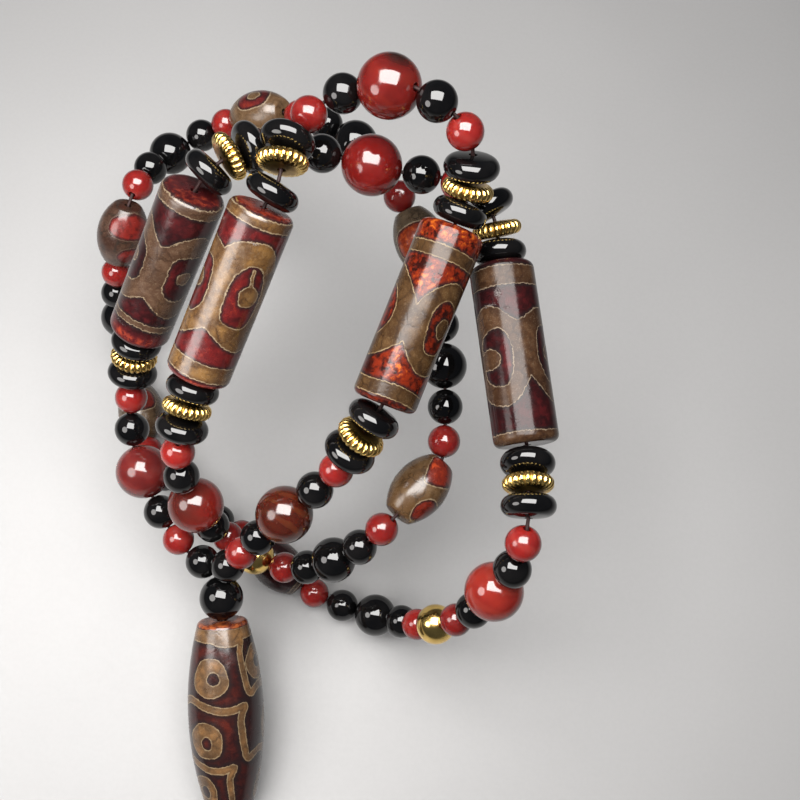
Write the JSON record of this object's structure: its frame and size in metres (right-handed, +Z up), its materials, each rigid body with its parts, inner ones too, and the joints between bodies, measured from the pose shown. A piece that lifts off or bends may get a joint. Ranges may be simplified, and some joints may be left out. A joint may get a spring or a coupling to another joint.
{
  "type": "dzi bead necklace",
  "caption": "Draped loop of round, disc and barrel-shaped stone beads on a thread, with etched agate tubes and a long barrel pendant below the bead where both strands meet.",
  "frame": {"origin": "where the string rests over the top of what wears it, right under the large red bead at the crown", "axes": "+Z up, -Y towards the pendant at the front, +X to the wearer's left seen from the front"},
  "size_m": [0.1157, 0.1687, 0.1074],
  "materials": {
    "pendant_agate": "polished etched agate",
    "tube_agate": "polished etched agate",
    "oval_agate": "polished etched agate",
    "large_red_agate": "polished banded agate",
    "small_red_agate": "polished translucent agate",
    "black_onyx": "polished",
    "gold_metal": "polished gold colour",
    "thread_fibre": "waxed cord"
  },
  "bodies": {
    "root": {"pendant_dzi": "pendant_agate", "junction_bead": "black_onyx", "end_knot": "thread_fibre", "thread": "thread_fibre", "tube_dzi_1": "tube_agate", "tube_dzi_2": "tube_agate", "tube_dzi_3": "tube_agate", "tube_dzi_4": "tube_agate", "oval_dzi_1": "oval_agate", "oval_dzi_2": "oval_agate", "oval_dzi_3": "oval_agate", "oval_dzi_4": "oval_agate", "oval_dzi_5": "oval_agate", "oval_dzi_6": "oval_agate", "large_red_1": "large_red_agate", "large_red_2": "large_red_agate", "large_red_3": "large_red_agate", "large_red_4": "large_red_agate", "large_red_5": "large_red_agate", "large_red_6": "large_red_agate", "large_black_1": "black_onyx", "large_black_2": "black_onyx", "large_black_3": "black_onyx", "large_black_4": "black_onyx", "large_black_5": "black_onyx", "large_black_6": "black_onyx", "large_black_7": "black_onyx", "gold_ball_1": "gold_metal", "gold_ball_2": "gold_metal", "gold_spacer_1": "gold_metal", "gold_spacer_2": "gold_metal", "gold_spacer_3": "gold_metal", "gold_spacer_4": "gold_metal", "gold_spacer_5": "gold_metal", "gold_spacer_6": "gold_metal", "gold_spacer_7": "gold_metal", "gold_spacer_8": "gold_metal", "black_rondelles": "black_onyx", "small_black_beads": "black_onyx", "small_red_beads": "small_red_agate"}
  },
  "joints": []
}
